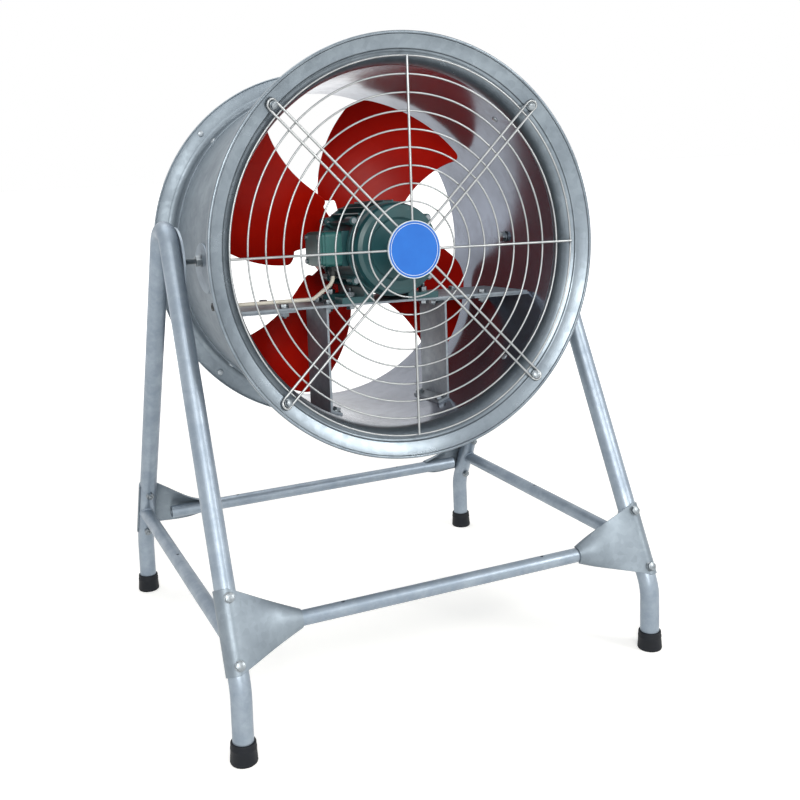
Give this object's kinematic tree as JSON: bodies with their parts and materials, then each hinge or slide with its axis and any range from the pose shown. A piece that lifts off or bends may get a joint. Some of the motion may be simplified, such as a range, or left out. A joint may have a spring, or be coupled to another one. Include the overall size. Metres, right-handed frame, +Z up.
{
  "type": "industrial drum fan",
  "caption": "Axial fan in a galvanised drum that tilts on a tubular stand, with a wire grille, a motor inside and a red bladed impeller.",
  "frame": {"origin": "on the floor at the middle of the four feet", "axes": "+Z up, +X towards the object's right side seen from the front, the front of the drum with its grille faces -Y; the drum is at its pictured tilt"},
  "size_m": [0.8018, 0.7328, 1.0808],
  "materials": {
    "galvanised": "galvanised sheet and tube, lightly reflective",
    "zinc": "bright zinc-plated fasteners",
    "wire": "bright plated wire",
    "rubber": "dark moulded rubber",
    "red_paint": "gloss red paint on sheet steel",
    "motor_green": "dark green paint on ribbed aluminium casting",
    "badge_blue": "bare blue plastic disc",
    "steel": "machined steel, hidden inside",
    "copper": "varnished copper winding heads",
    "gland_black": "black plastic gland",
    "sheath": "pale grey cable sheath"
  },
  "bodies": {
    "stand": {"left_side_frame": "galvanised", "right_side_frame": "galvanised", "left_side_rail": "galvanised", "right_side_rail": "galvanised", "front_cross_tube": "galvanised", "rear_cross_tube": "galvanised", "front_left_gusset": "galvanised", "front_right_gusset": "galvanised", "rear_left_gusset": "galvanised", "rear_right_gusset": "galvanised", "gusset_bolts": "zinc", "left_pivot_plate": "galvanised", "right_pivot_plate": "galvanised", "front_left_foot": "rubber", "front_right_foot": "rubber", "rear_left_foot": "rubber", "rear_right_foot": "rubber"},
    "drum": {"drum_shell": "galvanised", "front_bell_ring": "galvanised", "rear_flange_ring": "galvanised", "ring_rivets": "zinc", "left_pivot_pad": "galvanised", "right_pivot_pad": "galvanised", "left_pivot_bolt": "zinc", "right_pivot_bolt": "zinc", "pivot_nuts": "zinc", "front_grille": "wire", "grille_bolts": "zinc", "badge": "badge_blue", "motor_plate": "galvanised", "left_wall_bracket": "galvanised", "right_wall_bracket": "galvanised", "left_upright": "galvanised", "right_upright": "galvanised", "mount_bolts": "zinc", "motor_housing": "motor_green", "motor_front_shield": "motor_green", "motor_rear_shield": "motor_green", "shield_screws": "zinc", "stator_core": "steel", "stator_windings": "copper", "bearing_outer_rings": "steel", "terminal_box": "motor_green", "terminal_box_lid": "motor_green", "lid_screws": "zinc", "cable_gland": "gland_black", "motor_lead": "sheath", "wall_gland": "gland_black", "motor_foot_bolts": "zinc"},
    "impeller": {"motor_shaft": "steel", "rotor_core": "steel", "bearing_inner_rings": "steel", "hub_key": "steel", "impeller_hub": "red_paint", "blade_1": "red_paint", "blade_2": "red_paint", "blade_3": "red_paint", "blade_4": "red_paint", "hub_bolt": "zinc"}
  },
  "joints": [
    {"name": "drum_tilt", "type": "hinge", "parent": "stand", "child": "drum", "pos_m": [0, 0, 0.722], "axis": [1, 0, 0], "range_deg": [-90, 90]},
    {"name": "impeller_spin", "type": "hinge", "parent": "drum", "child": "impeller", "pos_m": [0, 0, 0.722], "axis": [0, 0.9985, -0.0541], "continuous": true}
  ]
}
